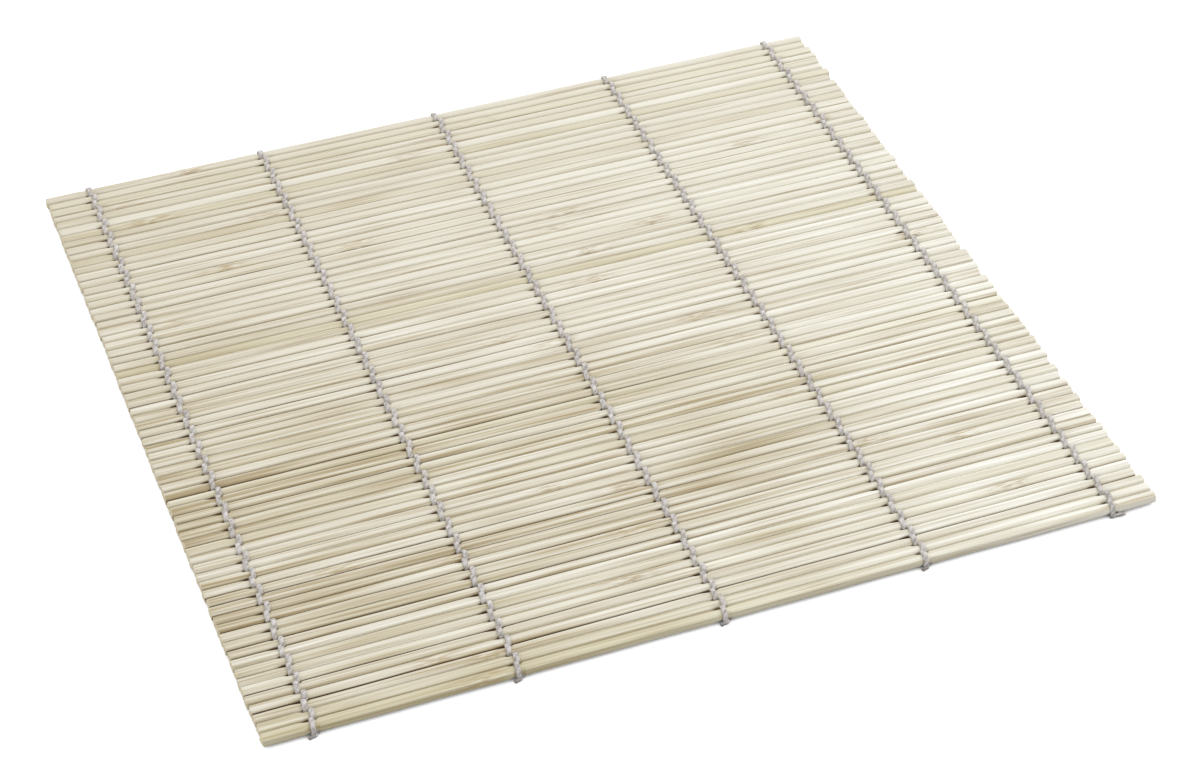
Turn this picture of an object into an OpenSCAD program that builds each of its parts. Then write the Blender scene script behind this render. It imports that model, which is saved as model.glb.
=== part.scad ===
// Sushi rolling mat: round bamboo splints laid side by side and woven together by cotton
// cords. Each cord is one piece, folded round the splint at the back edge. Its two strands
// run to the front edge in a plain weave, one over a splint where the other goes under it,
// and are knotted there. X runs along the splints, Y from front to back, Z up. The origin
// is in the middle of the mat, on the surface that it lies on.

/* [Splints] */
// How many splints the mat has
splint_count = 71; // [9:2:95]
// Length of a splint
splint_l = 240; // [180:1:330]
// Diameter of a splint
splint_d = 2.7; // [2:0.1:4]
// Bevel that breaks the edge of a splint's sawn end
end_bevel = 0.25; // [0.05:0.05:0.6]
// How many splints at the back edge are kept two to a node
paired_count = 32; // [2:2:34]

/* [Cords] */
// How many cords weave the splints together
cord_count = 5; // [2:1:5]
// Thickness of a strand where it is squeezed between two splints
cord_t = 0.3; // [0.2:0.05:0.8]
// How much a strand swells where it lies over or under a splint
cord_swell = 0.35; // [0:0.05:0.6]
// Width of a strand
cord_w = 1.3; // [0.7:0.05:1.6]
// Gap between the two strands of a cord
strand_gap = 0.1; // [0.05:0.05:0.5]
// Distance from the splints' ends to the outer cords
cord_inset = 13; // [8:0.5:30]
// How far each cord lies from even spacing, as it was woven by hand
cord_shift = [0.3, -1.4, -0.6, 0.9, 0.5];

/* [Fit] */
// Clearance between a strand and a splint
clearance = 0.1; // [0.05:0.01:0.2]

/* [Knots] */
// Diameter of the round cord in the fold, the knot and its tail
yarn_d = 1; // [0.6:0.05:1.2]
// How far the cut tail sticks out of each knot
tail_l = [0.8, 0.6, 0.8, 0.5, 2.6];
// Turn of each knot's tail away from straight ahead, to the left
tail_turn = [62, 55, 66, 50, -72];

/* [Hidden] */
// Distance from one splint to the next, which leaves room for a strand between them
pitch = splint_d + cord_t + 2 * clearance;
// A strand's middle line runs round each splint at half the pitch, so that the bends of
// neighbouring splints meet half way across the gap
wrap_r = pitch / 2;
// Flats that make up half a turn of a strand. The middle one is level, so the mat rests on it
wrap_flats = 6;
// Height of the splints' axes above the surface
axis_z = wrap_r + cord_t / 2 + cord_swell * cos(90 / wrap_flats);
strand_x = (cord_w + strand_gap) / 2;
// How far the fold reaches behind the back splint's axis, and the longest tail in front of
// the front splint's axis. They set the splints so that the whole mat is centred
back_reach = wrap_r + strand_x + yarn_d / 2;
knot_r = strand_x + yarn_d / 2;
front_reach = wrap_r + yarn_d
    + max([for (c = [0:cord_count - 1]) (knot_r + tail_l[c]) * cos(tail_turn[c])]);
back_y = (splint_count - 1) / 2 * pitch + (front_reach - back_reach) / 2;
// The fold and the knots start inside the strands, so that each cord is one piece
seat = wrap_r - cord_t / 4;
cord_spacing = (splint_l - 2 * cord_inset) / (cord_count - 1);
bamboo = "#d9cfae";
cotton = "#b9b3bb";
$fn = 48;

function splint_y(k) = back_y - (k - 1) * pitch;
function cord_x(c) =
    -splint_l / 2 + cord_inset + (c - 1) * cord_spacing + cord_shift[c - 1];
function two_digits(n) = n < 10 ? str("0", n) : str(n);

// The back splints are named in pairs, such as splints_01_02, and the others one by one
pair_names = [
    for (k = [1:2:paired_count]) str("splints_", two_digits(k), "_", two_digits(k + 1))
];
single_names = [for (k = [paired_count + 1:splint_count]) str("splint_", two_digits(k))];
cord_names = [for (c = [1:cord_count]) str("cord_", c)];

// One splint, a round bamboo stick with its sawn edges broken
module splint(k) {
    half = splint_l / 2;
    r = splint_d / 2;
    color(bamboo)
    translate([0, splint_y(k), axis_z])
    rotate([0, 90, 0])
    rotate_extrude()
    polygon([
        [0, -half], [r - end_bevel, -half], [r, end_bevel - half],
        [r, half - end_bevel], [r - end_bevel, half], [0, half]
    ]);
}

// How far from a splint's axis a strand's face lies, at an angle round the splint. face is
// 1 on the face away from the splint and -1 on the one against it
function face_r(face, angle) =
    (wrap_r + face * cord_t / 2 + (face > 0 ? cord_swell * sin(angle) : 0))
    / cos(90 / wrap_flats);

// One face of a strand seen from the side, from the back edge to the front edge. It passes
// over splint k where over(k) is 1 and under it where over(k) is -1, so the face that lies
// outside one splint lies inside the next. first is over(1)
function over(k, first) = k % 2 == 1 ? first : -first;
// Both faces start and end level with the splints' axes, where the fold and the knot hold them
function edge_point(k, end, face) = [splint_y(k) + end * (wrap_r + face * cord_t / 2), axis_z];
function strand_face(first, side) = [
    edge_point(1, 1, side * over(1, first)),
    for (k = [1:splint_count], i = [1:wrap_flats])
        let (
            up = over(k, first),
            angle = (i - 0.5) * 180 / wrap_flats,
            r = face_r(side * up, angle)
        )
        [splint_y(k) + r * cos(angle), axis_z + up * r * sin(angle)],
    edge_point(splint_count, -1, side * over(splint_count, first))
];
function backwards(points) = [for (i = [len(points) - 1:-1:0]) points[i]];

// One strand along the whole mat. The left one, at side -1, starts over the first splint
// and the right one, at side 1, starts under it
module strand(side) {
    translate([side * strand_x - cord_w / 2, 0, 0])
    rotate([90, 0, 90])
    linear_extrude(cord_w)
    polygon(concat(strand_face(-side, 1), backwards(strand_face(-side, -1))));
}

// The cord's fold behind the first splint, which joins its two strands
module fold() {
    translate([0, back_y, axis_z]) {
        translate([0, wrap_r, 0])
        rotate_extrude(angle = 180)
        translate([strand_x, 0])
        circle(d = yarn_d);
        for (side = [-1, 1])
            translate([side * strand_x, seat, 0])
            rotate([-90, 0, 0])
            cylinder(d = yarn_d, h = wrap_r - seat);
    }
}

// The knot in front of the last splint: a turn of cord round both strands, and the cut tail
module knot(turn, length) {
    translate([0, splint_y(splint_count), axis_z]) {
        translate([0, -seat, 0])
        rotate([90, 0, 0])
        cylinder(r = knot_r, h = wrap_r + yarn_d / 2 - seat);
        translate([0, -wrap_r - yarn_d / 2, 0]) {
            rotate([90, 0, 0])
            rotate_extrude()
            translate([strand_x, 0])
            circle(d = yarn_d);
            rotate([90, 0, -turn]) {
                cylinder(d = yarn_d, h = knot_r + length);
                translate([0, 0, knot_r + length]) sphere(d = yarn_d);
            }
        }
    }
}

module cord(c) {
    color(cotton)
    translate([cord_x(c), 0, 0]) {
        strand(-1);
        strand(1);
        fold();
        knot(tail_turn[c - 1], tail_l[c - 1]);
    }
}

for (n = [1:len(pair_names)])
    union() {
        splint(2 * n - 1);
        splint(2 * n);
    }
for (n = [1:len(single_names)])
    splint(paired_count + n);
for (c = [1:cord_count])
    cord(c);
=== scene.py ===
# %% [markdown]
# # A sushi rolling mat
#
# The mat is 71 thin bamboo splints, laid side by side and woven together by five cotton cords.
# The CAD model is exact and plain: every splint is a straight rod and every cord a smooth band.
# This lesson dresses it. It makes the uneven splints that a splitting machine really turns out,
# and the soft twisted cotton that holds them, and then sets light and camera.
#
# The frame is loaded first, so that every size below can be read from it.

# %% Load the frame
import math
import random

import bmesh
import bpy
import numpy as np
from mathutils import Matrix, Vector


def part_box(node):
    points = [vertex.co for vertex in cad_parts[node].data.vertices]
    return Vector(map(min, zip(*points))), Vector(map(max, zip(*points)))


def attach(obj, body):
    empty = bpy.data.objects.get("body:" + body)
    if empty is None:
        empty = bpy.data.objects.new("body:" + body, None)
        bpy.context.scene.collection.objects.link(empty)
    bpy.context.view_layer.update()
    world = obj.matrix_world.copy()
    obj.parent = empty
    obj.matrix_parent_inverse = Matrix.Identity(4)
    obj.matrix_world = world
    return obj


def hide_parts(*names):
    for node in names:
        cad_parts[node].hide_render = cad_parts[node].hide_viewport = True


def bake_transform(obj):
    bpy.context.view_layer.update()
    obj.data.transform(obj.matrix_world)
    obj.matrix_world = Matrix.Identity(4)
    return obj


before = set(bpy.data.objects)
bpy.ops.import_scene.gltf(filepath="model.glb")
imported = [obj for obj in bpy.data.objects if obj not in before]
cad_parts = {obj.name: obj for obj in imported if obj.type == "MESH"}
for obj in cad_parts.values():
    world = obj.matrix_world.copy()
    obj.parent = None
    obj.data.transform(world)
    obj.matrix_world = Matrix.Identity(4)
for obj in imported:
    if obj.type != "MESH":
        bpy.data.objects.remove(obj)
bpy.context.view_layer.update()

# %% [markdown]
# ## Sizes
#
# The splints lie at an even pitch. Two neighbours in the frame give that pitch, and with it
# the place of every splint, counted from the back edge. The cords lie at hand-woven places
# that are a little off even spacing, so those are written out as the CAD source has them.

# %% Read the sizes
MM = 0.001
SPLINTS = 71
PAIRED = 32                            # so many splints at the back share their nodes by twos
MIDDLE = 36                            # the splint in the middle of the mat
CORDS = 5


def middle(node, axis):
    """The middle of a CAD node's box along one axis."""
    low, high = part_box(node)
    return (low[axis] + high[axis]) / 2


PITCH = middle("splint_36", 1) - middle("splint_37", 1)
MID_Y = middle("splint_36", 1)
AXIS_Z = middle("splint_36", 2)
SPLINT_LOW, SPLINT_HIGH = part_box("splint_36")
SPLINT_R = (SPLINT_HIGH[2] - SPLINT_LOW[2]) / 2
SPLINT_L = SPLINT_HIGH[0] - SPLINT_LOW[0]
CORD_INSET = 13 * MM                   # from a splint's end to the nearest cord
CORD_SHIFT = [0.3 * MM, -1.4 * MM, -0.6 * MM, 0.9 * MM, 0.5 * MM]
CORD_X = [-SPLINT_L / 2 + CORD_INSET + n * (SPLINT_L - 2 * CORD_INSET) / (CORDS - 1) + shift
          for n, shift in enumerate(CORD_SHIFT)]
TAIL_L = [0.8 * MM, 0.6 * MM, 0.8 * MM, 0.5 * MM, 2.6 * MM]
TAIL_TURN = [62, 55, 66, 50, -72]      # degrees to the left of straight ahead


def splint_y(k):
    """Where splint k lies, counted from the back edge."""
    return MID_Y + (MIDDLE - k) * PITCH


def link_of(k):
    """The body that carries splint k: the back splints move in pairs, the others alone."""
    number = (k + 1) // 2 if k <= PAIRED else PAIRED // 2 + k - PAIRED
    return f"link_{number:02d}"


def node_of(k):
    """The CAD node that holds splint k."""
    first = k if k % 2 else k - 1
    return f"splints_{first:02d}_{first + 1:02d}" if k <= PAIRED else f"splint_{k:02d}"


print(f"pitch {PITCH / MM:.3f} mm, axes {AXIS_Z / MM:.3f} mm up,",
      f"splints {SPLINT_L / MM:.0f} mm long")

# %% [markdown]
# ## Camera
#
# The photograph was taken from the front and a little to the left, looking down at about 41
# degrees with a long lens. A camera is only a place and three directions: what is right, what
# is up, and what is behind it. Setting those directly is surer than turning it by eye.

# %% Set the camera
camera_data = bpy.data.cameras.new("studio camera")
camera_data.lens = 87.93               # fitted to the mat's four corners in the photograph
camera_data.sensor_width = 36
camera = bpy.data.objects.new("studio camera", camera_data)
bpy.context.scene.collection.objects.link(camera)
camera_right = Vector((0.93341, -0.35878, 0.003997))
camera_up = Vector((0.23182, 0.61154, 0.75649))
camera_back = camera_right.cross(camera_up)
camera_turn = Matrix((camera_right, camera_up, camera_back)).transposed()
camera_place = Vector((-0.2156, -0.5791 + MID_Y, 0.5161 + AXIS_Z))
camera.matrix_world = Matrix.Translation(camera_place) @ camera_turn.to_4x4()
bpy.context.scene.camera = camera
print("camera stands", round(camera_place.length, 3), "m from the mat's middle")

# %% [markdown]
# ## Light and surroundings
#
# The photograph has soft light and no dark shadow. One large lamp at the back right gives the
# splints their lit side, and a bright sky fills the rest. The floor is plain and pale grey.
# Where the camera looks at it directly it is lifted to white, which is what a photographer does
# with a bright table, and the mat's shadow still falls on it. The lift fades out where little
# sky is open above the floor, so no light shines up through the mat's gaps.


# %% Colours
def linear(code):
    """An sRGB colour such as #d9cfae, as the linear numbers that a shader works in."""
    parts = [int(code[i:i + 2], 16) / 255 for i in (1, 3, 5)]
    return [c / 12.92 if c <= 0.04045 else ((c + 0.055) / 1.055) ** 2.4 for c in parts] + [1]


bpy.context.scene.view_settings.view_transform = "Standard"
print("view transform", bpy.context.scene.view_settings.view_transform)


# %% One node of a material
def add_node(tree, kind, inputs=None, output=0, stops=(), **settings):
    """Adds a node and gives back one of its outputs. Each input is a value or the output of
    another node. Stops are the places and colours of a ramp."""
    made = tree.nodes.new(kind)
    for name, value in settings.items():
        setattr(made, name, value)
    for key, value in (inputs or {}).items():
        if isinstance(value, bpy.types.NodeSocket):
            tree.links.new(value, made.inputs[key])
        else:
            made.inputs[key].default_value = value
    for n, (place, code) in enumerate(stops):      # a new ramp has two stops to start with
        stop = made.color_ramp.elements[n] if n < 2 else made.color_ramp.elements.new(place)
        stop.position = place
        stop.color = linear(code)
    return made.outputs[output] if made.outputs else None


# %% Where a ray comes from
def seen_directly(tree):
    """1 for what the camera, a mirror or glass sees, and 0 for what only lights the mat."""
    seen = add_node(tree, "ShaderNodeLightPath", output="Is Camera Ray")
    for kind_of_ray in ("Is Glossy Ray", "Is Transmission Ray"):
        ray = add_node(tree, "ShaderNodeLightPath", output=kind_of_ray)
        seen = add_node(tree, "ShaderNodeMath", {0: seen, 1: ray}, operation="MAXIMUM")
    return seen


# %% Sky
SKY_FILL = 0.97                        # just under 1, at which a colour renders as it is written
world = bpy.data.worlds.new("soft sky")
bpy.context.scene.world = world
world.use_nodes = True
tree = world.node_tree
tree.nodes.clear()
fill_light = add_node(tree, "ShaderNodeBackground", {
    "Color": linear("#f9f9fd"), "Strength": SKY_FILL})
white_sky = add_node(tree, "ShaderNodeBackground", {"Color": (1, 1, 1, 1), "Strength": 1})
sky = add_node(tree, "ShaderNodeMixShader", {0: seen_directly(tree), 1: fill_light, 2: white_sky})
add_node(tree, "ShaderNodeOutputWorld", {"Surface": sky})
print(world.name, len(tree.nodes), "nodes")


# %% Lamps
def add_lamp(name, place, aim, size, power):
    """A square lamp that looks at a point. Its size is in metres and its power in watts."""
    data = bpy.data.lights.new(name, "AREA")
    data.size = size
    data.energy = power
    lamp = bpy.data.objects.new(name, data)
    bpy.context.scene.collection.objects.link(lamp)
    lamp.location = place
    lamp.rotation_euler = (Vector(place) - Vector(aim)).to_track_quat("Z", "Y").to_euler()
    return lamp


key_lamp = add_lamp("key lamp", (1.5, 0.7, 1.7), (0.03, 0.0, 0.0), size=1.3, power=15)
print(key_lamp.name, key_lamp.data.energy, "W")

# %% Floor
FLOOR_LIFT = 0.82                      # what the painted floor lacks to be white
SHADOW_REACH = 3.5 * MM                # how far up a point of the floor looks for open sky
bpy.ops.object.select_all(action="DESELECT")
bpy.ops.mesh.primitive_plane_add(size=6, location=(0, 0, 0))
floor = bpy.context.active_object
floor.name = "floor"
floor_material = bpy.data.materials.new("white table")
floor_material.use_nodes = True
tree = floor_material.node_tree
tree.nodes.clear()
painted = add_node(tree, "ShaderNodeBsdfPrincipled", {
    "Base Color": linear("#a6a6a6"), "Roughness": 0.9})
open_sky = add_node(tree, "ShaderNodeAmbientOcclusion", {"Distance": SHADOW_REACH},
                    output="AO", samples=8)
open_sky = add_node(tree, "ShaderNodeMapRange", {
    "Value": open_sky, "From Min": 0.12, "From Max": 0.45})
lift = add_node(tree, "ShaderNodeMath", {0: seen_directly(tree), 1: open_sky},
                operation="MULTIPLY")
lift = add_node(tree, "ShaderNodeMath", {0: lift, 1: FLOOR_LIFT}, operation="MULTIPLY")
glow = add_node(tree, "ShaderNodeEmission", {"Color": (1, 1, 1, 1), "Strength": lift})
lifted = add_node(tree, "ShaderNodeAddShader", {0: painted, 1: glow})
add_node(tree, "ShaderNodeOutputMaterial", {"Surface": lifted})
floor.data.materials.append(floor_material)
print(floor_material.name, len(tree.nodes), "nodes")

# %% [markdown]
# ## The bamboo's finish
#
# Peeled bamboo is pale straw with fibres that run dead straight along the splint. A noise
# pattern that is squeezed across the splint and stretched along it gives such fibres: here a
# fine pattern with marks 0.5 mm wide for the grain, and a coarse one, 1.1 mm wide, for the
# streaks that make a splint look two-toned. Real fibres are finer, but they would not show. Every
# splint also has its own tone, painted on its mesh as an attribute below, because each was split
# from another cane. Scattered splints carry a cane node, where the fibres tear and look darker.


# %% A pattern of fibres
def stretched_noise(tree, place, along, across, detail=0.0, shift=0.0):
    """Noise drawn out along X. along and across are the sizes of its marks in metres."""
    squeezed = add_node(tree, "ShaderNodeMapping", {
        "Vector": place, "Location": (shift, shift, shift),
        "Scale": (1 / along, 1 / across, 1 / across)})
    return add_node(tree, "ShaderNodeTexNoise", {
        "Vector": squeezed, "Scale": 1.0, "Detail": detail, "Roughness": 0.55})


# %% Bamboo's colours
STRAW = [(0.0, "#ae9e7b"), (0.22, "#cbc1a5"), (0.5, "#ded8c5"), (0.78, "#ebe8d8"), (1.0, "#f8f6eb")]
# Flank colours: pale tan where a gap is clean, dark brown where it is dirty or painted with shade
FLANK_SHADE_AND_DIRT = [(0.3, "#b5a88a"), (1.0, "#66482b")]
STREAKS = 0.85                         # how far the streaks move a splint's tone
GRAIN = 0.6                            # and how far the grain does


def bamboo_colour(tree, place, grain, tear, torn, fleck):
    """The colour of bamboo, from its tone and its marks."""
    tone, lively, green, sawn, flank = [
        add_node(tree, "ShaderNodeAttribute", output="Fac", attribute_name=name)
        for name in ("tone", "lively", "green", "sawn", "flank")]
    streak = stretched_noise(tree, place, 80 * MM, 1.1 * MM, 0.5, 3.1)
    thread = stretched_noise(tree, place, 30 * MM, 0.45 * MM, 0.0, 7.7)
    # Streaks and grain swing round the splint's own tone, more so on livelier splints
    swing = add_node(tree, "ShaderNodeMath", {0: streak, 1: STREAKS, 2: -(STREAKS + GRAIN) / 2},
                     operation="MULTIPLY_ADD")
    swing = add_node(tree, "ShaderNodeMath", {0: grain, 1: GRAIN, 2: swing},
                     operation="MULTIPLY_ADD")
    level = add_node(tree, "ShaderNodeMath", {0: swing, 1: lively, 2: tone},
                     operation="MULTIPLY_ADD")
    colour = add_node(tree, "ShaderNodeValToRGB", {"Fac": level}, stops=STRAW)
    # The flanks facing the next splint are painted brown: partly dirt, as no hand or cloth ever
    # rubs them,
    # and partly painted shade, as little light gets down into the gaps between splints
    brown = add_node(tree, "ShaderNodeMapRange", {
        "Value": flank, "From Min": 0.2, "From Max": 0.8, "To Max": 0.97},
        interpolation_type="SMOOTHSTEP")
    flank_shade_and_dirt_colour = add_node(tree, "ShaderNodeValToRGB", {"Fac": flank}, stops=FLANK_SHADE_AND_DIRT)
    # Thin brown fibres, as fine as a hair
    hair = add_node(tree, "ShaderNodeMapRange", {
        "Value": thread, "From Min": 0.67, "From Max": 0.67 + 1 / 7, "To Max": 0.5})
    # In a cane node some fibres are lighter than the wood round them
    pale = add_node(tree, "ShaderNodeMapRange", {
        "Value": fleck, "From Min": 0.44, "From Max": 0.44 - 1 / 6})
    pale = add_node(tree, "ShaderNodeMath", {0: pale, 1: torn}, operation="MULTIPLY")
    # Each layer is its strength, the place where it shows, its colour and how it is laid on
    layers = [(0.75, green, linear("#d3ca93"), "MULTIPLY"), (1.0, brown, flank_shade_and_dirt_colour, "MIX"),
              (1.0, hair, linear("#a5895c"), "MIX"), (0.75, tear, linear("#a4874f"), "MIX"),
              (0.8, pale, linear("#f5efdc"), "MIX"), (0.7, sawn, linear("#e9dcb6"), "MIX")]
    for strength, where, layer, laid_on in layers:
        share = add_node(tree, "ShaderNodeMath", {0: where, 1: strength}, operation="MULTIPLY")
        colour = add_node(tree, "ShaderNodeMix", {0: share, 6: colour, 7: layer}, output=2,
                          data_type="RGBA", blend_type=laid_on)
    return colour


# %% Bamboo material
def make_bamboo():
    """Peeled, polished bamboo: straight fibres, streaks, torn cane nodes and pale cut ends."""
    material = bpy.data.materials.new("peeled bamboo")
    material.use_nodes = True
    tree = material.node_tree
    tree.nodes.clear()
    place = add_node(tree, "ShaderNodeTexCoord", output="Object")
    grain = stretched_noise(tree, place, 26 * MM, 0.5 * MM)
    fleck = stretched_noise(tree, place, 4.5 * MM, 0.5 * MM, 2.0, 12.4)
    torn = add_node(tree, "ShaderNodeAttribute", output="Fac", attribute_name="torn")
    tear = add_node(tree, "ShaderNodeMapRange", {
        "Value": fleck, "From Min": 0.46, "From Max": 0.46 + 1 / 6})
    tear = add_node(tree, "ShaderNodeMath", {0: tear, 1: torn}, operation="MULTIPLY")
    colour = bamboo_colour(tree, place, grain, tear, torn, fleck)
    # The fibres stand up a few hundredths of a millimetre, and far more where they are torn
    height = add_node(tree, "ShaderNodeMath", {0: tear, 1: 2.0, 2: grain},
                      operation="MULTIPLY_ADD")
    bump = add_node(tree, "ShaderNodeBump", {
        "Strength": 0.3, "Distance": 0.03 * MM, "Height": height})
    rough = add_node(tree, "ShaderNodeMath", {0: grain, 1: 0.25, 2: 0.48},
                     operation="MULTIPLY_ADD")
    skin = add_node(tree, "ShaderNodeBsdfPrincipled", {
        "Base Color": colour, "Roughness": rough, "Normal": bump, "Specular IOR Level": 0.3})
    add_node(tree, "ShaderNodeOutputMaterial", {"Surface": skin})
    return material


bamboo = make_bamboo()
print(bamboo.name, len(bamboo.node_tree.nodes), "nodes")

# %% [markdown]
# ## The cotton's finish
#
# The cord is two plies of soft cotton, twisted. The mesh carries the twist as low ridges, and this
# finish adds the fibres that run along each ply and paints shade into the groove between the plies.
# It reads the piece's UV map, in which U runs along the cord and V round it, because a pattern
# in space would not follow the cord over and under the splints.


# %% Cotton material
COTTON = [(0.0, "#938d85"), (0.5, "#d0cbc5"), (1.0, "#f1eee9")]


def make_cotton():
    """Soft twisted cotton, lilac-grey: painted shade in the grooves between plies, fuzzy fibres, a
    soft sheen.
    """
    material = bpy.data.materials.new("twisted cotton")
    material.use_nodes = True
    tree = material.node_tree
    tree.nodes.clear()
    uv = add_node(tree, "ShaderNodeUVMap", uv_map="along_cord")
    along = add_node(tree, "ShaderNodeSeparateXYZ", {0: uv}, output="X")
    around = add_node(tree, "ShaderNodeSeparateXYZ", {0: uv}, output="Y")
    place = add_node(tree, "ShaderNodeTexCoord", output="Object")
    # Two grooves wind round the cord, one on each side of it, and step round as it twists
    wind = add_node(tree, "ShaderNodeMath", {0: around, 1: along}, operation="SUBTRACT")
    wind = add_node(tree, "ShaderNodeMath", {0: wind, 1: 4 * math.pi}, operation="MULTIPLY")
    groove = add_node(tree, "ShaderNodeMath", {0: wind}, operation="COSINE")
    groove = add_node(tree, "ShaderNodeMath", {0: groove, 1: 0.5, 2: 0.5},
                      operation="MULTIPLY_ADD")
    groove = add_node(tree, "ShaderNodeMath", {0: groove, 1: 2.0}, operation="POWER")
    fibre_place = add_node(tree, "ShaderNodeMapping", {
        "Vector": uv, "Rotation": (0, 0, math.radians(38)), "Scale": (9, 34, 1)})
    fibre = add_node(tree, "ShaderNodeTexNoise", {
        "Vector": fibre_place, "Scale": 1.0, "Detail": 3.0})
    # Patches about 1.5 mm across, where the cotton took the dye more or less
    patch = add_node(tree, "ShaderNodeTexNoise", {
        "Vector": place, "Scale": 650.0, "Detail": 2.0})
    # The groove's weight of -0.25 is painted shade: it darkens the cord between its plies
    shade = -0.7
    for mark, weight in ((fibre, 1.44), (patch, 0.96), (groove, -0.25)):
        shade = add_node(tree, "ShaderNodeMath", {0: mark, 1: weight, 2: shade},
                         operation="MULTIPLY_ADD")
    colour = add_node(tree, "ShaderNodeValToRGB", {"Fac": shade}, stops=COTTON)
    # The knots are darker low down: painted shade where they sit against the floor, and grubby cut
    # ends
    knot_shade_and_grubbiness = add_node(tree, "ShaderNodeAttribute", output="Fac", attribute_name="knot_shade_and_grubbiness")
    colour = add_node(tree, "ShaderNodeMix", {0: knot_shade_and_grubbiness, 6: colour, 7: linear("#5d564f")},
                      output=2, data_type="RGBA")
    height = add_node(tree, "ShaderNodeMath", {0: fibre, 1: groove}, operation="SUBTRACT")
    bump = add_node(tree, "ShaderNodeBump", {
        "Strength": 0.5, "Distance": 0.05 * MM, "Height": height})
    yarn = add_node(tree, "ShaderNodeBsdfPrincipled", {
        "Base Color": colour, "Roughness": 0.92, "Normal": bump,
        "Specular IOR Level": 0.15, "Sheen Weight": 0.15, "Sheen Roughness": 0.5})
    add_node(tree, "ShaderNodeOutputMaterial", {"Surface": yarn})
    return material


cotton = make_cotton()
print(cotton.name, len(cotton.node_tree.nodes), "nodes")

# %% [markdown]
# ## One splint, modelled
#
# A splint starts as a cylinder. Its long edges are subdivided, which gives rings that can be
# moved, and its ends are inset and their rims bevelled, because a saw leaves a small burr that
# is rubbed off. This one is the pattern for all 71.

# %% Places of the rings
NEAR_CORD = [-6.0, -4.0, -3.0, -2.2, -1.6, -1.15, 0.0, 0.8, 1.06, 1.35, 4.0]    # mm from a cord
BETWEEN_CORDS = [0.25, 0.35, 0.45, 0.55, 0.65, 0.75]
LAST_RING = 0.1184                     # 1.6 mm from a splint's ends
RING_X = sorted([x + step * MM for x in CORD_X for step in NEAR_CORD]
                + [CORD_X[n] + (CORD_X[n + 1] - CORD_X[n]) * part
                   for n in range(CORDS - 1) for part in BETWEEN_CORDS]
                + [-LAST_RING, LAST_RING])
SIDES = 20
HALF = SPLINT_L / 2
print(len(RING_X), "rings of", SIDES)


# %% Choosing faces and edges in code
def choose(kind, wanted):
    """Selects the edges or faces of the mesh in edit mode that wanted() says yes to."""
    mesh = bmesh.from_edit_mesh(bpy.context.active_object.data)
    for item in list(mesh.verts) + list(mesh.edges) + list(mesh.faces):
        item.select = False
    mesh.select_mode = {kind}
    for item in (mesh.edges if kind == "EDGE" else mesh.faces):
        if wanted(item):
            item.select_set(True)
    mesh.select_flush_mode()
    bmesh.update_edit_mesh(bpy.context.active_object.data)


# %% Model the splint
def on_rim(edge):
    """Whether an edge lies on the outer rim of one of the rod's ends."""
    return all(abs(v.co.x) > HALF - 1e-6 and v.co.yz.length > SPLINT_R - 1e-5
               for v in edge.verts)


def splint_pattern():
    """A rod with rings along it and broken edges at its ends."""
    bpy.ops.object.select_all(action="DESELECT")
    bpy.ops.mesh.primitive_cylinder_add(vertices=SIDES, radius=SPLINT_R, depth=SPLINT_L,
                                        location=(0, 0, 0), rotation=(0, math.pi / 2, 0))
    rod = bpy.context.active_object
    bpy.ops.object.transform_apply(location=True, rotation=True, scale=True)
    bpy.ops.object.mode_set(mode="EDIT")
    bpy.ops.mesh.select_mode(type="EDGE")
    choose("EDGE", lambda e: abs(e.verts[0].co.x - e.verts[1].co.x) > HALF)
    bpy.ops.mesh.subdivide(number_cuts=len(RING_X))
    bpy.ops.mesh.select_mode(type="FACE")
    choose("FACE", lambda f: abs(f.normal.x) > 0.9)
    bpy.ops.mesh.inset(thickness=0.45 * MM)
    bpy.ops.mesh.poke()
    bpy.ops.mesh.select_mode(type="EDGE")
    choose("EDGE", on_rim)
    bpy.ops.mesh.bevel(offset=0.22 * MM, segments=2, affect="EDGES")
    bpy.ops.object.mode_set(mode="OBJECT")
    return rod


pattern = splint_pattern()
print("pattern", len(pattern.data.vertices), "points", len(pattern.data.polygons), "faces")

# %% [markdown]
# ## How the splints differ
#
# Real splints are split and drawn through a die, so their width and thickness wander a little,
# one flank is often flatter than the others, and the gap between two of them opens where a cord
# runs between. It is easiest to draw the gaps rather than the splints: each gap gets a middle
# line and a width, and a splint then fills what lies between two gaps, so neighbours never run
# into each other. On the left of every cord each second gap opens into a longer wedge, because
# both strands cross there.


# %% Smooth lines
def wander(source, amount, waves):
    """A smooth random line: a function of x, made of a few waves of different length."""
    parts = [(amount / len(waves) * source.uniform(0.6, 1.4), length * source.uniform(0.8, 1.25),
              source.uniform(0, 2 * math.pi)) for length in waves]
    return lambda x: sum(size * np.sin(2 * math.pi * x / length + start)
                         for size, length, start in parts)


def ease(value):
    """A smooth step from 0 to 1."""
    value = np.clip(value, 0, 1)
    return value * value * (3 - 2 * value)


def bell(value, top, width):
    """A smooth hump: 1 at its top and nearly 0 two widths away from it."""
    return np.exp(-((value - top) / width) ** 2)


# %% Gaps between the splints
NECK = PITCH / 2 - SPLINT_R            # half of a gap's width where a cord holds it open
YARN_LEFT = 1.15 * MM                  # from a cord's middle to where a gap starts to close
YARN_RIGHT = [0.8 * MM, 1.1 * MM]      # the same on the right, for even and odd gaps
WEDGE = [2.8 * MM, 1.2 * MM]           # how long it takes to close on the left, also for both
NOTCH = 0.25 * MM                      # and on the right


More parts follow.
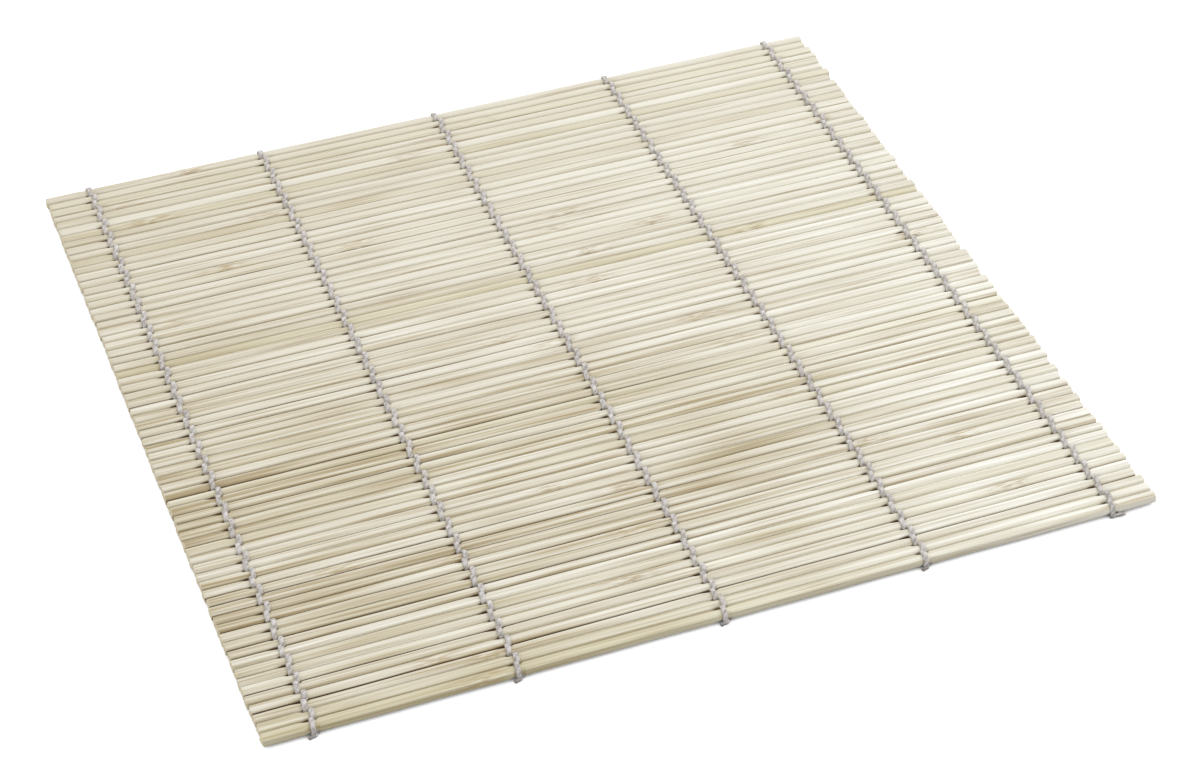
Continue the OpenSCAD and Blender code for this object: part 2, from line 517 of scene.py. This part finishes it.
def neck(x, g, right_too=True):
    """1 beside a cord and 0 away from it. g is the gap's number."""
    shape = np.zeros_like(x)
    for c, cord in enumerate(CORD_X):
        chance = random.Random(1000 * g + c)
        left = WEDGE[g % 2] * chance.uniform(0.75, 1.3)
        right = NOTCH * chance.uniform(0.8, 1.4)
        away = np.where(x < cord, (cord - YARN_LEFT - x) / left,
                        (x - cord - YARN_RIGHT[g % 2]) / right)
        beside = 1 - ease(away)
        shape = np.maximum(shape, beside if right_too else beside * (x < cord))
    return shape


# %% The lines of a gap
NARROW = [0.035 * MM, 0.04 * MM, 0.05 * MM, 0.085 * MM]     # half widths away from the cords
FAN = 9 * MM                           # so far from a splint's end a gap starts to widen


def gap_lines(g):
    """The middle and half the width of gap g, which lies in front of splint g."""
    chance = random.Random(g + 50)
    drift = wander(chance, 0.10 * MM, (160 * MM, 70 * MM, 31 * MM))
    apart = chance.uniform(-0.17, 0.17) * MM if 0 < g < SPLINTS else 0
    narrow = chance.choice(NARROW) * (0.75 + 0.25 * g / SPLINTS)
    breathe = wander(chance, 0.015 * MM, (90 * MM, 40 * MM))

    def lines(x):
        near = neck(x, g)
        fan = ease((np.abs(x) - HALF + FAN) / (8 * MM)) * np.where(x < 0, 0.03, 0.07) * MM
        width = np.maximum(narrow + breathe(x), 0.025 * MM) + fan
        middle_y = splint_y(g) - PITCH / 2 + (apart + drift(x)) * (1 - near)
        return middle_y, width + (NECK - width) * near
    return lines


def gap_shade_and_dirt(g):
    """How brown the flanks on both sides of gap g are, from soiling and painted shade. The mat's
    outer edges are clean.
    """
    if g in (0, SPLINTS):
        return 0.15
    return random.Random(g + 400).uniform(0.2, 1.0) * (0.6 + 0.4 * ease(g / SPLINTS * 1.6))


gaps = [gap_lines(g) for g in range(SPLINTS + 1)]
print("half width between splints at a cord", round(NECK / MM, 3), "mm")

# %% [markdown]
# ## Tone of each splint
#
# The photograph shows pale splints with some tanner ones among them, and two tan bands that
# cross the left part of the mat, at about 0.6 and 0.8 of its depth, with a shorter one right of
# the middle. The splints at the very front are yellower. A tone of 1 is nearly white and 0 is
# tan.


# %% Tones and cane nodes
def tone_along(k, x):
    """The tone of splint k along x."""
    chance = random.Random(k + 900)
    front = ease(k / 45)               # the splints differ more towards the front
    own = 0.55 + chance.gauss(0, 0.035 + 0.025 * front) + 0.02 * (k - MIDDLE) / (SPLINTS - MIDDLE)
    drift = wander(chance, 0.05 + 0.06 * front, (200 * MM, 80 * MM, 35 * MM))
    bands = (0.12 * bell(k, 44, 3.6) * ease((45 * MM - x) / (90 * MM))
             + 0.10 * bell(k, 58.5, 3.4) * ease((30 * MM - x) / (80 * MM))
             + 0.16 * bell(k, 54, 2.6) * bell(x, 34 * MM, 26 * MM))
    front_left = 0.08 * ease((k - 20) / 26) * ease((40 * MM - x) / (130 * MM))
    front_middle = 0.10 * ease((k - 36) / 10) * bell(x, 20 * MM, 32 * MM)
    bright_right = 0.12 * x / HALF + 0.05 * front * ease((x - 40 * MM) / (60 * MM))
    return own + drift(x) - bands - front_left - front_middle + bright_right


CANE_NODES = 0.42                      # the share of splints that show one
cane_node_x = {}
chance = random.Random(7)
for k in range(1, SPLINTS + 1):
    if chance.random() < CANE_NODES:
        cane_node_x[k] = chance.uniform(-HALF + 8 * MM, HALF - 8 * MM)
cane_node_x[SPLINTS] = -64 * MM        # the front one shows in the photograph
print(len(cane_node_x), "splints show a cane node")


# %% The ends of a splint
def stretched_x(k, chance, points, reach):
    """Where the pattern's points go along X. Its rings are evenly spaced and move to their
    places, and the sawn ends are cut a little short and not quite square."""
    x = points[:, 0]
    ring = np.rint((x + HALF) / SPLINT_L * (len(RING_X) + 1)).astype(int)
    on_ring = (reach > 0.99) & (ring > 0) & (ring <= len(RING_X)) & (np.abs(x) < HALF - 1 * MM)
    short = [chance.uniform(0, 0.55) ** 2 * MM, chance.uniform(0, 1.0) ** 2 * MM]
    slant = [chance.uniform(-0.25, 0.25) for _ in range(4)]
    if k == SPLINTS:
        short[1] = 0
    right = x > 0
    tilt = (np.where(right, slant[0], slant[1]) * points[:, 1]
            + np.where(right, slant[2], slant[3]) * points[:, 2])
    sawn_off = np.where(right, short[1], short[0]) + np.abs(tilt)
    return np.where(on_ring, np.array([0] + RING_X)[np.clip(ring, 0, len(RING_X))],
                    x - np.sign(x) * sawn_off)


# %% Shape a splint
BEND_SLOPE = 0.21                      # a little more than the tangent of half the widest bend
CANE_NODE_RISE = 0.03                  # how much thicker a splint is at its cane node


def shape_splint(k, chance, points):
    """Moves the pattern's points to the gaps on both sides of splint k. Gives back where each
    lies along X, how near the surface, and the cosine of its place round the splint."""
    reach = np.hypot(points[:, 1], points[:, 2]) / SPLINT_R
    angle = np.arctan2(points[:, 2], points[:, 1])
    x = stretched_x(k, chance, points, reach)
    back_y, back_half = gaps[k - 1](x)
    front_y, front_half = gaps[k](x)
    back, front = back_y - back_half, front_y + front_half
    near = np.minimum(1, np.maximum(neck(x, k - 1), neck(x, k)))
    middle_y, half_y = (back + front) / 2, (back - front) / 2
    bow = wander(chance, 0.05 * MM, (110 * MM, 45 * MM))(x) * (1 - near)
    half_z = SPLINT_R * (0.965 + wander(chance, 0.02, (120 * MM, 50 * MM))(x))
    half_z = half_z * (1 - near) + SPLINT_R * 0.985 * near
    # A section a little squarer than round away from the cords, with one flatter flank
    square = chance.uniform(0.52, 0.72) * (1 - near) + near
    flat_at = chance.uniform(0.15, 0.85) * math.pi
    flat = chance.uniform(0.86, 0.97) * (1 - near) + near
    cos, sin = np.cos(angle), np.sin(angle)
    across = np.sign(cos) * np.abs(cos) ** square
    upward = np.sign(sin) * np.abs(sin) ** square
    facing = np.cos(angle - flat_at)
    limit = np.where(facing > 0.3, np.minimum(1, flat / np.maximum(facing, 0.3)), 1)
    limit = np.where(np.abs(cos) > 0.85, np.maximum(limit, 0.985), limit)
    # Above its axis each flank leans back from the gap, which leaves room for the roll
    rise = np.maximum(0, half_z * upward * limit)
    room = (half_y - BEND_SLOPE * rise) / np.maximum(half_y * np.abs(across) * limit, 1e-6)
    limit = limit * np.where(reach > 0.9, np.minimum(1, room), 1)
    # The cane node stands proud in a low ring
    knuckle = bell(x, cane_node_x[k], 2.2 * MM) if k in cane_node_x else np.zeros_like(x)
    points[:, 0] = x
    points[:, 1] = middle_y + reach * half_y * across * limit
    points[:, 2] = AXIS_Z + bow + reach * half_z * upward * limit * (1 + CANE_NODE_RISE * knuckle)
    return x, reach, cos


# %% Paint a splint
def paint_splint(k, chance, x, reach, cos):
    """The numbers that the bamboo material reads at each point of splint k."""
    same = np.ones_like(x)
    torn = bell(x, cane_node_x[k], 5.0 * MM) if k in cane_node_x else 0 * same
    green = max(0, chance.gauss(-0.05, 0.2)) * same
    if k >= SPLINTS - 1:
        green = (0.55 if k == SPLINTS else 0.25) * (1 - 0.8 * ease((x + 40 * MM) / (120 * MM)))
    sawn = (np.abs(x) > HALF - 1.4 * MM) & (reach < 0.97)
    # Painted shade darkens the wedges on the left of the cords; flanks are browner towards the
    # mat's left
    beside = np.where(cos > 0, neck(x, k - 1, False) * (k > 1), neck(x, k, False) * (k < SPLINTS))
    side = np.where(np.abs(cos) > 0.9, 1.0,
                    np.where(np.abs(cos) > 0.78, 0.12 + 0.4 * beside, 0.0))
    shade_and_dirt = np.where(cos > 0, gap_shade_and_dirt(k - 1), gap_shade_and_dirt(k))
    shade_and_dirt = shade_and_dirt * (0.6 + 0.4 * ease((60 * MM - x) / (150 * MM)))
    return {"tone": tone_along(k, x), "lively": (0.4 + 0.75 * ease(k / 50)) * same,
            "flank": side * (reach > 0.9) * np.minimum(1, shade_and_dirt + 0.6 * beside),
            "green": green, "torn": torn, "sawn": sawn.astype(float)}


# %% Make a splint
def make_splint(k):
    """Copies the pattern, shapes and paints it, and hands it to the body of splint k."""
    chance = random.Random(k)
    name = f"bamboo_{k:02d}"
    mesh = pattern.data.copy()
    mesh.name = name
    points = np.empty(len(mesh.vertices) * 3)
    mesh.vertices.foreach_get("co", points)
    points = points.reshape(-1, 3)
    x, reach, cos = shape_splint(k, chance, points)
    mesh.vertices.foreach_set("co", points.ravel())
    for title, numbers in paint_splint(k, chance, x, reach, cos).items():
        layer = mesh.attributes.new(title, "FLOAT", "POINT")
        layer.data.foreach_set("value", numbers.astype(np.float32))
    mesh.update()
    piece = bpy.data.objects.new(name, mesh)
    bpy.context.scene.collection.objects.link(piece)
    mesh.materials.append(bamboo)
    mesh.shade_smooth()
    mesh.set_sharp_from_angle(angle=math.radians(50))
    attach(piece, link_of(k))
    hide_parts(node_of(k))
    return piece


# %% Make all the splints
splints = [make_splint(k) for k in range(1, SPLINTS + 1)]
bpy.data.objects.remove(pattern)
print(len(splints), "splints,", sum(len(s.data.polygons) for s in splints), "faces")

# %% [markdown]
# ## The cords
#
# Each cord is one length of cotton, folded in half behind the back splint. Its two strands run
# forward side by side. Where one lies over a splint the other lies under it, and they change
# places in every gap. A strand is squeezed flat in the gaps and swells where it is free.
#
# A cord bends with the mat, so it is made in short pieces, one to each gap that can open or
# close. Pieces meet at the crown of a bend, exactly over a splint's axis.


# %% A tube along rings
GROOVE = 0.04                          # how deep the plies' grooves are, as a share of the cord
FULLNESS = 0.7                         # 1 makes a section oval, and less makes it fuller


def tube(rings, closed=False, sides=10):
    """Points, faces and UVs of a tube. A ring is its middle, its two half widths as vectors,
    and how many turns of the twist lie behind it."""
    points, faces, maps = [], [], []
    for middle_point, wide, thick, turns in rings:
        for n in range(sides):
            a = 2 * math.pi * n / sides
            carve = 1 - GROOVE * (0.5 + 0.5 * math.cos(2 * (a - 2 * math.pi * turns)))
            across = math.copysign(abs(math.cos(a)) ** FULLNESS, math.cos(a))
            upward = math.copysign(abs(math.sin(a)) ** FULLNESS, math.sin(a))
            points.append(middle_point + (wide * across + thick * upward) * carve)
    count = len(rings)
    for i in range(count if closed else count - 1):
        j = (i + 1) % count
        last = rings[j][3] if j else rings[i][3] + (rings[1][3] - rings[0][3])
        for n in range(sides):
            m = (n + 1) % sides
            faces.append((i * sides + n, j * sides + n, j * sides + m, i * sides + m))
            maps.append([(rings[i][3], n / sides), (last, n / sides),
                         (last, (n + 1) / sides), (rings[i][3], (n + 1) / sides)])
    if not closed:
        for i, order in ((0, 1), (count - 1, -1)):
            ring = [i * sides + n for n in range(sides)][::order]
            faces.append(tuple(ring))
            maps.append([(rings[i][3], 0.25)] * sides)
    return points, faces, maps


# %% One piece of a cord
def cord_piece(name, tubes):
    """Makes one object of several tubes, each turned so that its faces point outwards."""
    points, faces, maps = [], [], []
    for tube_points, tube_faces, tube_maps in tubes:
        faces += [tuple(i + len(points) for i in face) for face in tube_faces]
        points += tube_points
        maps += tube_maps
    mesh = bpy.data.meshes.new(name)
    mesh.from_pydata(points, [], faces)
    layer = mesh.uv_layers.new(name="along_cord")
    layer.data.foreach_set("uv", [value for face in maps for corner in face for value in corner])
    shell = bmesh.new()
    shell.from_mesh(mesh)
    bmesh.ops.recalc_face_normals(shell, faces=shell.faces)
    shell.to_mesh(mesh)
    shell.free()
    # Painted shade low down at the front edge, where the knots sit against the floor, and grubby
    # cut ends
    heights, depths = np.array([(point.z, point.y) for point in points]).T
    knot_shade_and_grubbiness = 0.75 * ease((1.3 * MM - heights) / (0.8 * MM))      # only low down at the front edge
    knot_shade_and_grubbiness = knot_shade_and_grubbiness * (depths < splint_y(SPLINTS) - 1.1 * MM)
    layer = mesh.attributes.new("knot_shade_and_grubbiness", "FLOAT", "POINT")
    layer.data.foreach_set("value", knot_shade_and_grubbiness.astype(np.float32))
    mesh.materials.append(cotton)
    mesh.shade_smooth()
    mesh.set_sharp_from_angle(angle=math.radians(55))
    piece = bpy.data.objects.new(name, mesh)
    bpy.context.scene.collection.objects.link(piece)
    return piece


# %% The path of a strand round a splint
INSIDE = 1.40 * MM                     # from a splint's axis to the strand's inner face
SQUEEZED = 0.40 * MM                   # the strand's thickness in a gap
HALF_WIDTH = 0.50 * MM                 # half its width there
SPREAD = 0.20 * MM                     # how much wider each half gets where it is free
CROWN = AXIS_Z - 0.006 * MM            # from a splint's axis to the strand's top
TWIST = 3.7 * MM                       # length of cord for one turn of its plies
WRAP_LENGTH = 5.3 * MM                 # length of cord round one splint
OFFSET = 0.45 * MM                     # of each strand from the cord's middle
LEAN = 0.16 * MM                       # how far a strand leans to the left as it crosses a splint
BRIDGE = 0.22 * MM                     # how much of the notch towards its partner a strand fills


def wrap_ring(c, k, side, turn):
    """A ring on the strand of cord c at side -1 or 1. turn is 0 behind splint k, half of pi at
    its crown and pi in front of it."""
    over = 1 if (k % 2 == 1) == (side < 0) else -1
    chance = random.Random(f"{c} {k} {side}")
    plump = chance.uniform(0.85, 1.12)
    skew = chance.uniform(-0.1, 0.1) * MM
    swell = max(0, math.sin(turn)) ** 0.55
    if k == SPLINTS and turn > math.pi / 2:
        swell = max(swell, 0.85)       # nothing squeezes the strand in front of the last splint
    outside = INSIDE + SQUEEZED + (CROWN - INSIDE - SQUEEZED) * swell
    if over > 0 and (turn > math.pi / 2) == (k % 2 == 0):      # the side where its partner rises
        outside += BRIDGE * bell(abs(turn - math.pi / 2), 0.75, 0.28)
    radius = (INSIDE + outside) / 2
    thick = (outside - INSIDE) / 2
    wide = HALF_WIDTH + SPREAD * swell * plump
    outward = Vector((0, math.cos(turn), over * math.sin(turn)))
    middle_point = Vector((CORD_X[c] + side * OFFSET + over * LEAN * math.cos(turn) + skew * swell,
                           splint_y(k), AXIS_Z)) + outward * radius
    turns = ((k - 1) + turn / math.pi) * WRAP_LENGTH / TWIST + c * 0.37 + side * 0.21
    return middle_point, Vector((wide, 0, 0)), outward * thick * over, turns


# %% A strand over two splints
REAR_HALF = [0, 22, 45, 66, 84, 90]     # degrees from behind a splint to its crown
FRONT_HALF = [180 - turn for turn in reversed(REAR_HALF)]


def stretch(c, side, before, after):
    """The rings that join two neighbouring splints. They start and end at the crowns, but where
    splints move in pairs they go all the way round both."""
    rear = REAR_HALF[:-1] if before <= PAIRED else []
    front = FRONT_HALF[1:] if after < PAIRED else []
    return ([wrap_ring(c, before, side, math.radians(turn)) for turn in rear + FRONT_HALF]
            + [wrap_ring(c, after, side, math.radians(turn)) for turn in REAR_HALF[1:] + front])


# %% [markdown]
# ### The fold at the back
#
# Behind the first splint the cord simply turns round it, down the back from the strand that
# lies over it to the strand that lies under it, shifting sideways on the way. Nothing squeezes
# it there, so it spreads and stands out as a small round loop.


# %% The fold
FOLD_HALF_WIDTH = 0.72 * MM
FOLD_SPREAD = 0.24 * MM                # how much wider each half gets behind the splint
FOLD_SHIFT = 0.12 * MM                 # how far it slips to the left there


def fold_rings(c):
    """The cord round the first splint, from in front of it over its top and back under it."""
    rings = [wrap_ring(c, 1, -1, math.radians(turn)) for turn in (180, 158, 135, 114, 90)]
    last = rings[-1][3]
    for turn in (66, 44, 22, 0, -22, -44, -66):
        share = (90 - turn) / 180
        loose = ease((90 - abs(turn)) / 40)
        radius = INSIDE + (0.34 + 0.08 * math.cos(math.radians(turn))) * MM
        outward = Vector((0, math.cos(math.radians(turn)), math.sin(math.radians(turn))))
        x = CORD_X[c] + OFFSET * (2 * ease(share) - 1) - FOLD_SHIFT * loose
        rings.append((Vector((x, splint_y(1), AXIS_Z)) + outward * radius,
                      Vector((FOLD_HALF_WIDTH + FOLD_SPREAD * loose, 0, 0)),
                      outward * (radius - INSIDE), last + (90 - turn) / 90 * 0.86))
    last = rings[-1][3]
    under = [wrap_ring(c, 1, 1, math.radians(turn)) for turn in (90, 114, 135, 158, 180)]
    for n, (middle_point, wide, thick, _) in enumerate(under):
        rings.append((middle_point, wide, -thick, last + 0.3 * (n + 1)))
    return rings


# %% [markdown]
# ### The knot at the front
#
# In the photograph each cord ends just under the front splint in a small tight knot. The strand
# that lies over the splint runs down its front, a turn of cord grips both strands, and the cut
# end pokes out to the side. Only the right-hand cord has a longer end, which points right.


# %% The knot
TAIL_Z = [0.52 * MM, 0.52 * MM, 0.52 * MM, 0.52 * MM, 0.95 * MM]     # how high each cut end lies
TAIL_SIZES = [(0, 0.44), (0.2, 0.44), (0.45, 0.44), (0.7, 0.44), (0.9, 0.48), (1.0, 0.34)]
# Each pair is a share of the tail's length and half its thickness there in mm: the end is frayed
LOOP_RINGS = 14


def knot_tubes(c):
    """The turn of cord that grips both strands below the last splint's front, and the cut tail."""
    chance = random.Random(c + 300)
    heart = Vector((CORD_X[c] + chance.uniform(-0.5, -0.3) * MM,
                    splint_y(SPLINTS) - 1.60 * MM, 0.78 * MM))
    loop = []
    for n in range(LOOP_RINGS):
        a = 2 * math.pi * n / LOOP_RINGS
        outward = Vector((math.cos(a), math.sin(a), 0.2 * math.cos(a))).normalized()
        path = Vector((0.45 * math.cos(a), 0.34 * math.sin(a), 0.10 * math.cos(a))) * MM
        loop.append((heart + path, outward * 0.38 * MM, Vector((0, 0, 0.40 * MM)),
                     n / LOOP_RINGS))
    turn = math.radians(TAIL_TURN[c])
    ahead = Vector((-math.sin(turn), -math.cos(turn) * 0.5, 0)).normalized()
    level = ahead.cross(Vector((0, 0, 1)))
    length = 0.85 * MM + TAIL_L[c]
    tail = []
    for share, half_width in TAIL_SIZES:
        size = half_width * MM
        droop = Vector((0, 0, (TAIL_Z[c] - heart.z) * ease(share)))
        tail.append((heart + ahead * length * share + droop,
                     level * size, Vector((0, 0, size)), share * length / TWIST))
    return [tube(loop, closed=True), tube(tail)]


# %% [markdown]
# ### Making the pieces
#
# The back splints move in pairs, so there a piece covers one splint on each side of the gap
# that bends. From splint 33 on every gap bends, and a piece runs from crown to crown.


# %% Make the cords
BENDING = list(range(2, PAIRED, 2)) + list(range(PAIRED, SPLINTS))     # the splints behind them
PAST_CROWN = {-1: (96, 114, 135, 158, 180, 202, 222), 1: (96, 114, 130)}    # of the last splint

cords = []
for c in range(CORDS):
    label = f"cord_{c + 1}"
    head = cord_piece(f"{label}_fold", [tube(fold_rings(c))])
    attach(head, "link_01")
    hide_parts(label)
    cords.append(head)
    for before in BENDING:
        after = before + 1
        tubes = []
        for side in (-1, 1):
            rings = stretch(c, side, before, after)
            if after == SPLINTS:
                rings += [wrap_ring(c, SPLINTS, side, math.radians(turn))
                          for turn in PAST_CROWN[side]]
            tubes.append(tube(rings))
        if after == SPLINTS:
            tubes += knot_tubes(c)
        kind = "knot" if after == SPLINTS else "weave"
        piece = cord_piece(f"{label}_{kind}_{before:02d}_{after:02d}", tubes)
        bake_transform(piece)
        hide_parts(label)
        cords.append(piece)
print(len(cords), "cord pieces,", sum(len(s.data.polygons) for s in cords), "faces")
